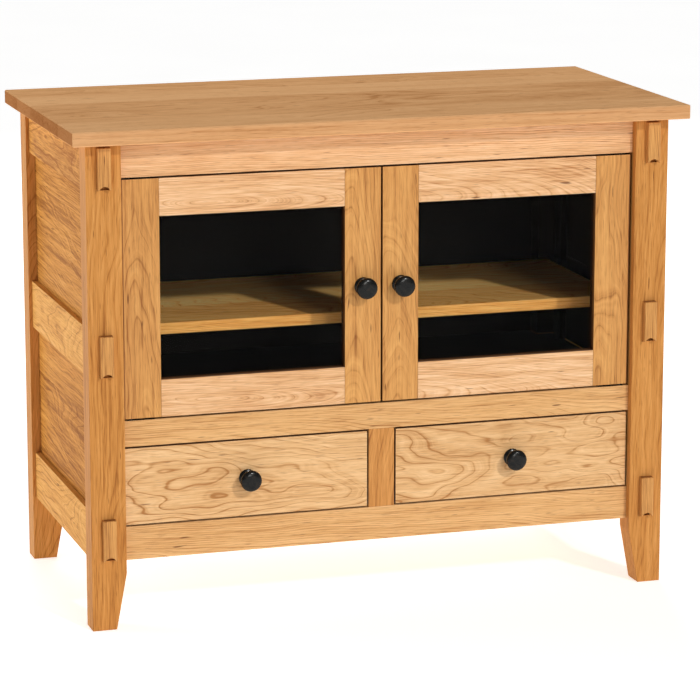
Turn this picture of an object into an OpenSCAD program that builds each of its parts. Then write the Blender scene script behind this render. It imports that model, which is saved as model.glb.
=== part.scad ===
// Console television cabinet: a framed cherry cabinet with two glass doors over two drawers.
// Millimetres, +Z up. The floor is z = 0, the middle of the top slab's outline is x = 0, y = 0,
// and the doors face -Y.

/* [Overall size] */
// width of the top slab, left to right
top_w = 1067; // [850:1:1400]
// depth of the top slab, front to back
top_d = 533; // [430:1:700]
// thickness of the top slab
top_t = 24; // [16:1:40]
// height of the top face above the floor
height = 840; // [680:1:1000]
// how far the top slab runs past the posts at the front
front_overhang = 31; // [0:1:60]
// how far the top slab runs past the posts at each side
side_overhang = 27; // [0:1:60]
// size of the eased edges of the top slab
top_ease = 1.5; // [0.5:0.25:3]

/* [Posts] */
// width of a post, across the front
post_w = 59; // [45:1:80]
// depth of a post, front to back
post_d = 42; // [36:1:60]
// width of a post where it meets the floor
foot_w = 41; // [30:1:59]
// height at which the taper on the inner side of a post starts
taper_z = 96; // [40:1:105]

/* [Front frame] */
// how far the rails, doors and drawers sit behind the front of the posts
face_recess = 14; // [4:1:20]
// thickness of the front and back rails
rail_t = 22; // [18:1:28]
// height of the underside of the lowest rails above the floor
rail_z = 114; // [95:1:160]
// height of the front bottom rail
bottom_rail_h = 57; // [40:1:80]
// height of the openings for the drawers
drawer_open_h = 136; // [115:1:180]
// height of the front middle rail
middle_rail_h = 44; // [32:1:60]
// height of the front top rail
top_rail_h = 60; // [40:1:80]
// width of the upright between the two drawers
mullion_w = 45; // [35:1:70]
// length of the tenons at the ends of the rails
tenon_l = 25; // [12:1:26]
// thickness of those tenons
tenon_t = 10; // [6:1:12]
// how much narrower than its rail a tenon is, at each edge
tenon_shoulder = 10; // [8:1:14]
// length of the tenons at the ends of the upright between the drawers
mullion_tenon_l = 15; // [8:1:20]

/* [Sides] */
// height of the side rails
side_rail_h = 82; // [60:1:100]
// how far the side rails sit behind the outer face of the posts
side_recess = 6; // [2:1:10]
// how far the side panels sit behind the outer face of the posts
panel_recess = 16; // [13:1:18]
// thickness of the side panels
panel_t = 8; // [6:1:9]
// depth of the grooves that hold the side panels
groove_d = 8; // [5:1:9]

/* [Tenon keys] */
// width of a key on the front of a post
key_w = 22; // [14:1:30]
// height of a key
key_h = 70; // [40:1:75]
// how far a key stands out of its post
key_out = 11.5; // [4:0.5:16]
// how deep a key sits in its post
key_in = 6; // [3:1:8]
// radius of the arch cut in the bottom end of a key
key_arch_r = 10; // [5:0.5:10.5]
// height of that arch
key_arch_rise = 7; // [2:0.5:8]
// size of the eased edges of a key
key_ease = 1.2; // [0.4:0.2:2]

/* [Doors] */
// thickness of the doors and of the drawer fronts
door_t = 20; // [18:1:22]
// width of the stiles and rails of a door
door_member_w = 63; // [45:1:80]
// gap round a door or a drawer front
gap = 3; // [1:0.5:4]
// gap between the two doors
meeting_gap = 3; // [1.5:0.5:5]
// thickness of the glass
glass_t = 3; // [3:1:5]
// width of the ledge that the glass rests against
glass_ledge = 8; // [5:1:12]
// thickness of that ledge, from the front of the door to the glass
ledge_t = 8; // [6:1:10]
// clearance round the edge of the glass
glass_clear = 1; // [0.5:0.5:2]
// thickness of the tenons of the door rails
door_tenon_t = 8; // [6:1:8]
// distance of a door tenon from the outer edge of its rail
door_tenon_out = 8; // [6:1:12]
// distance of a door tenon from the recess for the glass
door_tenon_in = 4; // [2:1:8]

/* [Hinges and catch] */
// distance of a hinge pin from the outer edge of its door
pivot_in = 12; // [9:1:16]
// distance of a hinge pin behind the front of its door
pivot_back = 6; // [5:0.5:7]
// radius of a hinge pin
pin_r = 2.5; // [2:0.5:3]
// clearance between a pin and its hole
pin_clear = 0.05; // [0.02:0.01:0.1]
// thickness of a hinge leaf
leaf_t = 3; // [2:0.5:4]
// length of a hinge leaf
leaf_l = 46; // [30:1:60]
// width of a hinge leaf
leaf_w = 13; // [12:1:16]
// distance of a hinge pin from the end of its leaf
pin_from_end = 6; // [5:0.5:8]
// distance of a hinge pin from the front edge of its leaf
pin_from_edge = 5; // [5:0.5:6]
// how deep a hinge pin is set in its own leaf
pin_root = 1; // [0.5:0.5:1.5]
// how far a hinge pin stops short of the far face of the other leaf
pin_short = 0.3; // [0.2:0.1:0.6]
// radius of the washer between the leaves under a door
washer_r = 5; // [4.5:0.5:5]
// clearance between that washer and the leaf in the case
washer_clear = 0.05; // [0.02:0.01:0.2]
// width of the plate on a door that a magnet holds
strike_w = 22; // [16:1:28]
// height of that plate
strike_h = 14; // [10:1:18]
// thickness of that plate
strike_t = 1; // [0.5:0.5:1]
// distance of that plate from the free edge of its door
strike_in = 8; // [4:1:12]
// distance of that plate from the top edge of its door
strike_down = 4; // [2:1:6]
// how much smaller than its plate a magnet is, at each edge
magnet_inset = 1; // [0:0.5:2]
// gap between a magnet and its plate
magnet_gap = 0.3; // [0.2:0.1:0.6]
// thickness of the block that holds the magnets
catch_t = 14; // [10:1:20]
// how far that block reaches past the plates, to each side and below
catch_past = 4; // [2:1:10]
// how far that block laps up behind the top rail
catch_lap = 22; // [15:1:30]

/* [Knobs] */
// radius of the cap of a knob
knob_r = 18; // [10:0.5:22]
// length of a knob, from the wood to its tip
knob_l = 30; // [20:1:36]
// radius of the foot of a knob
knob_foot_r = 15; // [7:0.5:16]
// radius of the neck of a knob
knob_neck_r = 7.5; // [4.5:0.5:9]
// radius of the screw that holds a knob
screw_r = 2; // [1.5:0.5:2.5]
// how far that screw goes into the knob
screw_in = 11; // [8:1:11]
// thickness of the screw's head
screw_head_t = 2.4; // [1.5:0.1:3]
// thickness of the foot of a knob
knob_foot_t = 3; // [2:0.5:4]
// distance of the end of the neck from the wood
knob_neck_l = 12; // [8:0.5:12]
// length of the flare from the neck to the cap
knob_flare_l = 8; // [5:0.5:8]
// height of the domed end of the cap
knob_dome_l = 7; // [4:0.5:8]

/* [Drawers] */
// thickness of the sides and back of a drawer
box_t = 12; // [10:1:15]
// height of the sides of a drawer
box_h = 110; // [80:1:110]
// distance of the box sides above the bottom edge of the front
box_lift = 9; // [6:1:12]
// depth of a drawer box, behind its front
box_d = 410; // [300:10:410]
// thickness of the bottom of a drawer
box_bottom_t = 6; // [5:1:8]
// how deep that bottom sits in its grooves
box_groove_d = 5; // [3:1:6]
// height of the underside of that bottom above the lower edges of the sides
box_bottom_up = 8; // [5:1:12]
// distance of the back of a drawer from the ends of its sides
box_back_in = 8; // [4:1:20]
// length of the dovetails into a drawer front
tail_l = 12; // [8:1:14]
// number of dovetails on each side of a drawer
tails = 3; // [2:1:4]
// width taken by a slide, between a drawer and the case
slide_w = 12.7; // [12.7:0.1:13.5]
// length of a slide
slide_l = 400; // [290:10:400]
// distance of a slide behind the drawer front
slide_start = 4; // [2:1:8]
// thickness of the steel in the slides
steel_t = 1.2; // [1:0.1:1.4]
// height of the outer channel of a slide
outer_h = 45; // [42:0.5:48]
// width of the outer channel
outer_w = 9.5; // [8:0.5:10.5]
// height of the middle channel
middle_h = 37.8; // [36.5:0.1:38.5]
// distance of the middle channel from the case
middle_x = 2.4; // [1.8:0.1:2.8]
// distance of the flange edges of the middle channel from the case
middle_reach = 7.9; // [7:0.1:8.5]
// height of the inner channel
inner_h = 30.6; // [29.5:0.1:31.5]
// distance of the flange edges of the inner channel from the case
inner_start = 5; // [4.5:0.1:6]
// how far the strips that carry the slides lap down over the lowest side rails
bearer_lap = 8; // [4:1:14]

/* [Inside] */
// thickness of the cabinet floor, under the glass doors
floor_t = 19; // [15:1:22]
// thickness of the shelf
shelf_t = 19; // [15:1:25]
// height of the top of the shelf above the cabinet floor
shelf_up = 141; // [70:1:250]
// distance of the front edge of the shelf behind the front of the posts
shelf_back = 105; // [60:1:160]
// gap between the back edge of the shelf and the back posts
shelf_back_gap = 5; // [2:1:20]
// clearance at each end of the shelf
shelf_clear = 1.5; // [1:0.5:3]
// size of the eased edges of the shelf
shelf_ease = 0.8; // [0.4:0.2:1.6]
// thickness of the strips that carry the shelf pins
cleat_t = 12; // [10:1:16]
// spacing of the holes for the shelf pins
hole_pitch = 32; // [25:1:40]
// holes in each strip
holes = 5; // [3:2:5]
// width of a strip
cleat_w = 30; // [24:1:40]
// distance of the front strips behind the front edge of the shelf
cleat_front = 45; // [30:1:80]
// distance of the back strips in front of the back posts
cleat_rear = 50; // [30:1:80]
// how far the strips lap up over the top side rails
cleat_lap = 20; // [10:1:40]
// radius of a shelf pin
shelf_pin_r = 2.5; // [2:0.5:3]
// depth of the holes for the shelf pins
pin_hole_l = 9; // [7:0.5:9.5]
// room left behind a shelf pin in its hole
pin_hole_spare = 0.5; // [0.2:0.1:1]
// how far a shelf pin stands out of its strip
pin_out = 10; // [8:1:14]
// radius of the collar of a shelf pin
collar_r = 4; // [3.5:0.5:5]
// thickness of that collar
collar_t = 1.2; // [0.8:0.1:1.4]
// length of the pad on a shelf pin
pad_l = 12; // [8:1:16]
// width of that pad
pad_w = 10; // [8:1:14]
// thickness of that pad
pad_t = 3; // [2.5:0.5:4]
// how far a pad is let down onto its pin
pad_seat = 1; // [0.5:0.5:1.5]
// thickness of the back panel
back_t = 6; // [4:1:9]
// how far the back panel is let into each back post
back_rebate = 10; // [6:1:20]
// radius of the cable hole in the back panel
cable_r = 30; // [20:1:40]
// distance of that hole to the right of the middle
cable_x = 160; // [-300:5:300]

/* [Hidden] */
// smoothness of round surfaces
$fn = 48;
// smallest overlap used to cut cleanly through a face
eps = 0.5;
// left and right outer faces of the posts
body_x = top_w / 2 - side_overhang;
// inner face of the posts
inner_x = body_x - post_w;
// front face of the front posts
front_y = front_overhang - top_d / 2;
// back face of the back posts
back_y = top_d / 2;
// front face of the back posts
back_post_y = back_y - post_d;
// underside of the top slab
under_z = height - top_t;
// front face of the rails, doors and drawer fronts
face_y = front_y + face_recess;
// back face of the front rails
rail_back_y = face_y + rail_t;
// back face of the doors and drawer fronts
door_back_y = face_y + door_t;
// front of the tenons on the front rails
tenon_y = face_y + (rail_t - tenon_t) / 2;
// bottom of the drawer openings
drawer_z = rail_z + bottom_rail_h;
// bottom of the middle rail
middle_z = drawer_z + drawer_open_h;
// bottom of the door opening, level with the cabinet floor
door_z = middle_z + middle_rail_h;
// top of the door opening
door_top_z = under_z - top_rail_h;
// outer face of the side rails
side_x = body_x - side_recess;
// inner face of the side rails
side_in_x = side_x - rail_t;
// outer face of the side panels
panel_x = body_x - panel_recess;
// lowest edges of the bottom, middle and top side rails
side_rail_z = [rail_z, (rail_z + under_z - side_rail_h) / 2, under_z - side_rail_h];
// middle heights of the keys, level with the side rails and clear of the top slab
key_z = [for (z = side_rail_z) min(z + side_rail_h / 2, under_z - key_h / 2 - 3)];
// outer edge of the left door
door_out_x = -inner_x + gap;
// free edge of the left door
door_free_x = -meeting_gap / 2;
// bottom and top edges of the doors
door_low_z = door_z + gap;
door_high_z = door_top_z - gap;
// edges of the left door's window
win_x = [door_out_x + door_member_w, door_free_x - door_member_w];
win_z = [door_low_z + door_member_w, door_high_z - door_member_w];
// hinge pin of the left door
pivot_x = door_out_x + pivot_in;
pivot_y = face_y + pivot_back;
// edges of the left drawer front
front_x = [-inner_x + gap, -mullion_w / 2 - gap];
front_z = [drawer_z + gap, middle_z - gap];
// outer faces of the left drawer box
box_x = [-inner_x + slide_w, -mullion_w / 2 - slide_w];
// bottom and top of the drawer sides
box_z = [front_z[0] + box_lift, front_z[0] + box_lift + box_h];
// underside of a drawer bottom
box_bottom_z = box_z[0] + box_bottom_up;
// middle height of the slides
slide_z = box_z[0] + box_h / 2;
// underside of the strips that carry the slides, just below the top of the lowest side rails
bearer_z = min(rail_z + side_rail_h - bearer_lap, slide_z - outer_h / 2);
// top of the shelf
shelf_z = door_z + shelf_up;
// side edges of the shelf
shelf_x = side_in_x - cleat_t - shelf_clear;
// front of the back panel
back_panel_y = back_y - back_t;
// front of the back rails
back_rail_y = back_panel_y - rail_t;
// centre lines of the front and back shelf strips
cleat_y = [shelf_back + front_y + cleat_front, back_post_y - cleat_rear];
// axis of the shelf pins
shelf_pin_z = shelf_z - shelf_t - pad_t - shelf_pin_r + pad_seat;
// front end of the slides
slide_y = door_back_y + slide_start;
// side edges and lower edge of the plate on the left door
strike_x = [door_free_x - strike_in - strike_w, door_free_x - strike_in];
strike_z = door_high_z - strike_down - strike_h;

// colour of upright cherry pieces
cherry = [0.79, 0.53, 0.30];
// colour of cherry pieces whose grain runs across
cherry_light = [0.87, 0.66, 0.46];
// colour of the side panels
cherry_panel = [0.77, 0.50, 0.27];
// colour of the drawer boxes and the strips that carry the slides
maple = [0.86, 0.76, 0.60];
// colour of the dark inside boards
dark = [0.10, 0.08, 0.07];
// colour of the glass
pane = [0.55, 0.62, 0.62, 0.35];
// colour of the knobs and hinges
bronze = [0.16, 0.15, 0.13];
// colour of the steel parts
steel = [0.62, 0.62, 0.64];

// ---------- helpers ----------

// a plain block between two opposite corners
module block(lo, hi) {
  translate(lo) cube(hi - lo);
}

// a block with its edges cut off by c
module eased_block(lo, hi, c) {
  hull() {
    block(lo + [c, c, 0], hi - [c, c, 0]);
    block(lo + [c, 0, c], hi - [c, 0, c]);
    block(lo + [0, c, c], hi - [0, c, c]);
  }
}

// its child, and the same again mirrored to the right side
module both_sides() {
  children();
  mirror([1, 0, 0]) children();
}

// the child mirrored to the right side
module on_right() {
  mirror([1, 0, 0]) children();
}

// a round bar or hole along Y, from y to y + l
module along_y(x, y, z, r, l) {
  translate([x, y, z]) rotate([-90, 0, 0]) cylinder(r = r, h = l);
}

// ---------- shapes of the left side of the case ----------

// a post before it is cut, y is its front face
module post_blank(y) {
  translate([-body_x, y + post_d, 0])
    rotate([90, 0, 0])
      linear_extrude(height = post_d)
        polygon([[0, 0], [foot_w, 0], [post_w, taper_z], [post_w, under_z], [0, under_z]]);
}

// the left side rail number i, with a tenon at each end
module side_rail_blank(i) {
  z = side_rail_z[i];
  block([-side_x, front_y + post_d, z], [-side_in_x, back_post_y, z + side_rail_h]);
  block([-side_x + (rail_t - tenon_t) / 2, front_y + post_d - tenon_l, z + tenon_shoulder],
        [-side_in_x - (rail_t - tenon_t) / 2, back_post_y + tenon_l,
         z + side_rail_h - tenon_shoulder]);
}

// the left side panel above side rail number i
module side_panel_shape(i) {
  block([-panel_x, front_y + post_d - groove_d, side_rail_z[i] + side_rail_h - groove_d],
        [-panel_x + panel_t, back_post_y + groove_d, side_rail_z[i + 1] + groove_d]);
}

// a side rail with the grooves for its panels
module side_rail_shape(i) {
  difference() {
    side_rail_blank(i);
    if (i < 2) side_panel_shape(i);
    if (i > 0) side_panel_shape(i - 1);
  }
}

// one key on the front of the left post, level with side rail number i
module key_shape(i) {
  x = -body_x + post_w / 2;
  z = key_z[i];
  difference() {
    eased_block([x - key_w / 2, front_y - key_out, z - key_h / 2],
                [x + key_w / 2, front_y + key_in, z + key_h / 2], key_ease);
    along_y(x, front_y - key_out - eps, z - key_h / 2 + key_arch_rise - key_arch_r,
            key_arch_r, key_out + key_in + 2 * eps);
  }
}

// the socket for that key
module key_socket(i) {
  x = -body_x + post_w / 2;
  z = key_z[i];
  block([x - key_w / 2, front_y - eps, z - key_h / 2],
        [x + key_w / 2, front_y + key_in, z + key_h / 2]);
}

// a rail across the case between the posts, with a tenon at each end
module cross_rail(y, z, h) {
  block([-inner_x, y, z], [inner_x, y + rail_t, z + h]);
  block([-inner_x - tenon_l, y + (rail_t - tenon_t) / 2, z + tenon_shoulder],
        [inner_x + tenon_l, y + (rail_t + tenon_t) / 2, z + h - tenon_shoulder]);
}

module front_post_shape() {
  difference() {
    post_blank(front_y);
    for (i = [0:2]) {
      side_rail_blank(i);
      key_socket(i);
    }
    side_panel_shape(0);
    side_panel_shape(1);
    cross_rail(face_y, rail_z, bottom_rail_h);
    cross_rail(face_y, middle_z, middle_rail_h);
    cross_rail(face_y, door_top_z, top_rail_h);
  }
}

module back_post_shape() {
  difference() {
    post_blank(back_post_y);
    for (i = [0:2]) side_rail_blank(i);
    side_panel_shape(0);
    side_panel_shape(1);
    back_rail_pair();
    block([-inner_x - back_rebate, back_panel_y, rail_z], [inner_x, back_y + eps, under_z + eps]);
  }
}

module back_rail_pair() {
  cross_rail(back_rail_y, rail_z, side_rail_h);
  cross_rail(back_rail_y, under_z - side_rail_h, side_rail_h);
}

// the upright between the drawers, with a tenon at each end
module mullion_shape() {
  block([-mullion_w / 2, face_y, drawer_z], [mullion_w / 2, rail_back_y, middle_z]);
  block([-mullion_w / 2 + tenon_shoulder, tenon_y, drawer_z - mullion_tenon_l],
        [mullion_w / 2 - tenon_shoulder, tenon_y + tenon_t, middle_z + mullion_tenon_l]);
}

// ---------- hinges ----------

// the outline of a leaf, thickened from low to high
module leaf_block(low, high) {
  block([pivot_x - pin_from_end, pivot_y - pin_from_edge, low],
        [pivot_x - pin_from_end + leaf_l, pivot_y - pin_from_edge + leaf_w, high]);
}

// the leaf let into the case at height z, and its pin; up is 1 under the door, -1 over it
module case_leaf(z, up) {
  low = up > 0 ? z - leaf_t : z;
  leaf_block(low, low + leaf_t);
  pin_low = up > 0 ? z - pin_root : z - gap - leaf_t + pin_short;
  translate([pivot_x, pivot_y, pin_low])
    cylinder(r = pin_r, h = pin_root + gap + leaf_t - pin_short);
}

// the room cut for a leaf in the case
module case_leaf_room(z, up) {
  leaf_block(up > 0 ? z - leaf_t : z - eps, up > 0 ? z + eps : z + leaf_t);
}

// the leaf let into a door edge at height z, with the hole for the pin
module door_leaf(z, up) {
  low = up > 0 ? z : z - leaf_t;
  difference() {
    union() {
      leaf_block(low, low + leaf_t);
      if (up > 0)
        translate([pivot_x, pivot_y, z - gap + washer_clear]) cylinder(r = washer_r, h = gap);
    }
    translate([pivot_x, pivot_y, low - gap - eps])
      cylinder(r = pin_r + pin_clear, h = leaf_t + gap + 2 * eps);
  }
}

// the room cut for a leaf in a door edge
module door_leaf_room(z, up) {
  leaf_block(up > 0 ? z - eps : z - leaf_t, up > 0 ? z + leaf_t : z + eps);
}

// ---------- knob ----------

// a turned knob on a face at y, pointing to -Y, and the screw behind it
module knob_shape(x, y, z) {
  translate([x, y, z]) rotate([90, 0, 0])
    difference() {
      rotate_extrude($fn = 40)
        polygon(concat(
          [[0, 0], [knob_foot_r, 0], [knob_foot_r, knob_foot_t / 2],
           [knob_foot_r - knob_foot_t / 2, knob_foot_t]],
          [for (a = [0:15:90]) [knob_neck_r + 2 * (1 - sin(a)), knob_foot_t + 4 * (1 - cos(a))]],
          [for (a = [0:15:90]) [knob_neck_r + (knob_r - knob_neck_r) * (1 - cos(a)),
                                knob_neck_l + knob_flare_l * sin(a)]],
          [for (a = [0:15:90]) [knob_r * cos(a), knob_l - knob_dome_l + knob_dome_l * sin(a)]]));
      translate([0, 0, -eps]) cylinder(r = screw_r + 0.05, h = screw_in + 1 + eps);
    }
  along_y(x, y - screw_in, z, screw_r, door_t + screw_in + 1);
  along_y(x, y + door_t, z, 2 * screw_r, screw_head_t);
}

// the hole for that screw
module knob_hole(x, y, z) {
  along_y(x, y - eps, z, screw_r + 0.1, door_t + 2 * eps);
}

// ---------- left door ----------

// place of the left door's knob
door_knob_x = door_free_x - door_member_w / 2;
door_knob_z = (door_low_z + door_high_z) / 2;

// a door rail between the stiles, its lower edge at z
module door_rail_blank(z, low_side) {
  block([win_x[0], face_y, z], [win_x[1], door_back_y, z + door_member_w]);
  y = face_y + (door_t - door_tenon_t) / 2;
  inward = glass_ledge + door_tenon_in;
  block([win_x[0] - tenon_l, y, z + (low_side ? door_tenon_out : inward)],
        [win_x[1] + tenon_l, y + door_tenon_t,
         z + door_member_w - (low_side ? inward : door_tenon_out)]);
}

// the recess behind the window that holds the glass and its stops
module glass_recess() {
  block([win_x[0] - glass_ledge, face_y + ledge_t, win_z[0] - glass_ledge],
        [win_x[1] + glass_ledge, door_back_y + eps, win_z[1] + glass_ledge]);
}

module door_stile_shape(x) {
  difference() {
    block([x, face_y, door_low_z], [x + door_member_w, door_back_y, door_high_z]);
    door_rail_blank(door_low_z, true);
    door_rail_blank(win_z[1], false);
    glass_recess();
    door_leaf_room(door_low_z, 1);
    door_leaf_room(door_high_z, -1);
    knob_hole(door_knob_x, face_y, door_knob_z);
  }
}

module door_rail_shape(z, low_side) {
  difference() {
    door_rail_blank(z, low_side);
    glass_recess();
  }
}

module door_glass_shape() {
  g = glass_ledge - glass_clear;
  block([win_x[0] - g, face_y + ledge_t, win_z[0] - g],
        [win_x[1] + g, face_y + ledge_t + glass_t, win_z[1] + g]);
}

// four strips that hold the glass from behind
module glass_stops_shape() {
  y0 = face_y + ledge_t + glass_t;
  difference() {
    block([win_x[0] - glass_ledge, y0, win_z[0] - glass_ledge],
          [win_x[1] + glass_ledge, door_back_y, win_z[1] + glass_ledge]);
    block([win_x[0], y0 - eps, win_z[0]], [win_x[1], door_back_y + eps, win_z[1]]);
  }
}

// the leaves of the hinges and the plate for the catch
module door_fittings_shape() {
  door_leaf(door_low_z, 1);
  door_leaf(door_high_z, -1);
  block([strike_x[0], door_back_y, strike_z],
        [strike_x[1], door_back_y + strike_t, strike_z + strike_h]);
}

// ---------- left drawer ----------

// place of the left drawer's knob
drawer_knob_x = (front_x[0] + front_x[1]) / 2;
drawer_knob_z = (front_z[0] + front_z[1]) / 2;

// the dovetails of one drawer side, x is its outer face
module tails_shape(x) {
  pitch = box_h / tails;
  narrow = pitch * 0.26;
  wide = pitch * 0.36;
  for (i = [0:tails - 1])
    translate([x, door_back_y, box_z[0] + pitch * (i + 0.5)])
      rotate([90, 0, 90])
        linear_extrude(height = box_t)
          polygon([[0.01, -narrow], [0.01, narrow], [-tail_l, wide], [-tail_l, -wide]]);
}

module drawer_bottom_shape() {
  block([box_x[0] + box_t - box_groove_d, door_back_y - box_groove_d, box_bottom_z],
        [box_x[1] - box_t + box_groove_d, door_back_y + box_d, box_bottom_z + box_bottom_t]);
}

module drawer_back_shape() {
  y = door_back_y + box_d - box_t - box_back_in;
  block([box_x[0] + box_t / 2, y, box_bottom_z + box_bottom_t],
        [box_x[1] - box_t / 2, y + box_t, box_z[1]]);
}

module drawer_side_shape(x) {
  difference() {
    union() {
      block([x, door_back_y, box_z[0]], [x + box_t, door_back_y + box_d, box_z[1]]);
      tails_shape(x);
    }
    drawer_bottom_shape();
    drawer_back_shape();
  }
}

module drawer_front_shape() {
  difference() {
    block([front_x[0], face_y, front_z[0]], [front_x[1], door_back_y, front_z[1]]);
    tails_shape(box_x[0]);
    tails_shape(box_x[1] - box_t);
    drawer_bottom_shape();
    knob_hole(drawer_knob_x, face_y, drawer_knob_z);
  }
}

// ---------- drawer slides ----------

// one steel channel: web from x to x + steel_t, flanges reaching to x + reach, half height h
module channel(x, reach, h, dir) {
  translate([0, slide_y, slide_z])
    scale([dir, 1, 1]) {
      block([x, 0, -h], [x + steel_t, slide_l, h]);
      block([x, 0, h - steel_t], [x + reach, slide_l, h]);
      block([x, 0, -h], [x + reach, slide_l, -h + steel_t]);
    }
}

// the same part of both slides of the left drawer
module slide_pair(x, reach, h) {
  translate([-inner_x, 0, 0]) channel(x, reach, h, 1);
  translate([-mullion_w / 2, 0, 0]) channel(x, reach, h, -1);
}

// the inner channels, open towards the case
module slide_inner_pair() {
  for (side = [0, 1])
    translate([side == 0 ? -inner_x : -mullion_w / 2, slide_y, slide_z])
      scale([side == 0 ? 1 : -1, 1, 1]) {
        block([slide_w - steel_t, 0, -inner_h / 2], [slide_w, slide_l, inner_h / 2]);
        block([inner_start, 0, inner_h / 2 - steel_t], [slide_w, slide_l, inner_h / 2]);
        block([inner_start, 0, -inner_h / 2], [slide_w, slide_l, -inner_h / 2 + steel_t]);
      }
}

// ---------- shelf support ----------

// one strip on the left side, its centre line at y
module cleat_shape(y) {
  difference() {
    block([-side_in_x, y - cleat_w / 2, door_z],
          [-side_in_x + cleat_t, y + cleat_w / 2, side_rail_z[2] + cleat_lap]);
    for (i = [0:holes - 1])
      translate([-side_in_x + cleat_t - pin_hole_l, y,
                 shelf_pin_z + (i - (holes - 1) / 2) * hole_pitch])
        rotate([0, 90, 0]) cylinder(r = shelf_pin_r + pin_clear, h = pin_hole_l + eps);
  }
}

// one pin in that strip, with a flat pad for the shelf
module shelf_pin_shape(y) {
  x = -side_in_x + cleat_t;
  pin_in = pin_hole_l - pin_hole_spare;
  translate([x - pin_in, y, shelf_pin_z])
    rotate([0, 90, 0]) cylinder(r = shelf_pin_r, h = pin_in + pin_out);
  translate([x, y, shelf_pin_z]) rotate([0, 90, 0]) cylinder(r = collar_r, h = collar_t);
  block([x, y - pad_w / 2, shelf_z - shelf_t - pad_t], [x + pad_l, y + pad_w / 2, shelf_z - shelf_t]);
}

// ---------- sub-parts: case ----------

module top_slab() {
  color(cherry) eased_block([-top_w / 2, -top_d / 2, under_z], [top_w / 2, top_d / 2, height],
                            top_ease);
}

module front_left_post() { color(cherry) front_post_shape(); }
module front_right_post() { color(cherry) on_right() front_post_shape(); }
module back_left_post() { color(cherry) back_post_shape(); }
module back_right_post() { color(cherry) on_right() back_post_shape(); }

module left_bottom_side_rail() { color(cherry_light) side_rail_shape(0); }
module left_middle_side_rail() { color(cherry_light) side_rail_shape(1); }
module left_top_side_rail() { color(cherry_light) side_rail_shape(2); }
module right_bottom_side_rail() { color(cherry_light) on_right() side_rail_shape(0); }
module right_middle_side_rail() { color(cherry_light) on_right() side_rail_shape(1); }
module right_top_side_rail() { color(cherry_light) on_right() side_rail_shape(2); }

module left_lower_side_panel() { color(cherry_panel) side_panel_shape(0); }
module left_upper_side_panel() { color(cherry_panel) side_panel_shape(1); }
module right_lower_side_panel() { color(cherry_panel) on_right() side_panel_shape(0); }
module right_upper_side_panel() { color(cherry_panel) on_right() side_panel_shape(1); }

module front_top_rail() {
  color(cherry_light)
    difference() {
      cross_rail(face_y, door_top_z, top_rail_h);
      both_sides() case_leaf_room(door_top_z, -1);
    }
}

module front_middle_rail() {
  color(cherry_light)
    difference() {
      cross_rail(face_y, middle_z, middle_rail_h);
      both_sides() case_leaf_room(door_z, 1);
      mullion_shape();
    }
}

module front_bottom_rail() {
  color(cherry_light)
    difference() {
      cross_rail(face_y, rail_z, bottom_rail_h);
      mullion_shape();
    }
}

module drawer_mullion() { color(cherry) mullion_shape(); }

module back_panel() {
  color(dark)
    difference() {
      block([-inner_x - back_rebate, back_panel_y, rail_z],
            [inner_x + back_rebate, back_y, under_z]);
      along_y(cable_x, back_panel_y - eps, (shelf_z + door_top_z) / 2, cable_r, back_t + 2 * eps);
    }
}

module back_rails() { color(cherry_light) back_rail_pair(); }

module cabinet_floor() {
  color(dark) {
    block([-inner_x, rail_back_y, door_z - floor_t], [inner_x, back_panel_y, door_z]);
    block([-side_in_x, front_y + post_d, door_z - floor_t], [side_in_x, back_post_y, door_z]);
  }
}

module slide_bearers() {
  color(maple) {
    both_sides()
      block([-side_in_x, front_y + post_d, bearer_z],
            [-inner_x, back_post_y, door_z - floor_t]);
    block([-mullion_w / 2, rail_back_y, bearer_z],
          [mullion_w / 2, back_rail_y, door_z - floor_t]);
  }
}

module shelf() {
  color(cherry_light)
    eased_block([-shelf_x, front_y + shelf_back, shelf_z - shelf_t],
                [shelf_x, back_post_y - shelf_back_gap, shelf_z], shelf_ease);
}

module shelf_cleats() {
  color(dark) both_sides() for (y = cleat_y) cleat_shape(y);
}

module shelf_pins() {
  color(steel) both_sides() for (y = cleat_y) shelf_pin_shape(y);
}

module tenon_keys() {
  color(cherry) both_sides() for (i = [0:2]) key_shape(i);
}

module hinge_case_plates() {
  color(bronze)
    both_sides() {
      case_leaf(door_z, 1);
      case_leaf(door_top_z, -1);
    }
}

// a block behind the top rail with a magnet for each door
module door_catch() {
  color(steel) {
    block([strike_x[0] - catch_past, rail_back_y, strike_z - catch_past],
          [-strike_x[0] + catch_past, rail_back_y + catch_t, door_top_z + catch_lap]);
    both_sides()
      block([strike_x[0] + magnet_inset, door_back_y + strike_t + magnet_gap, strike_z + magnet_inset],
            [strike_x[1] - magnet_inset, rail_back_y + eps, strike_z + strike_h - magnet_inset]);
  }
}

module slide_case_rails() {
  color(steel) both_sides() slide_pair(0, outer_w, outer_h / 2);
}

// ---------- sub-parts: doors ----------

module left_door_hinge_stile() { color(cherry) door_stile_shape(door_out_x); }
module left_door_meeting_stile() { color(cherry) door_stile_shape(win_x[1]); }
module left_door_top_rail() { color(cherry_light) door_rail_shape(win_z[1], false); }
module left_door_bottom_rail() { color(cherry_light) door_rail_shape(door_low_z, true); }
module left_door_glass() { color(pane) door_glass_shape(); }
module left_door_glass_stops() { color(cherry) glass_stops_shape(); }
module left_door_knob() { color(bronze) knob_shape(door_knob_x, face_y, door_knob_z); }
module left_door_fittings() { color(bronze) door_fittings_shape(); }

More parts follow.
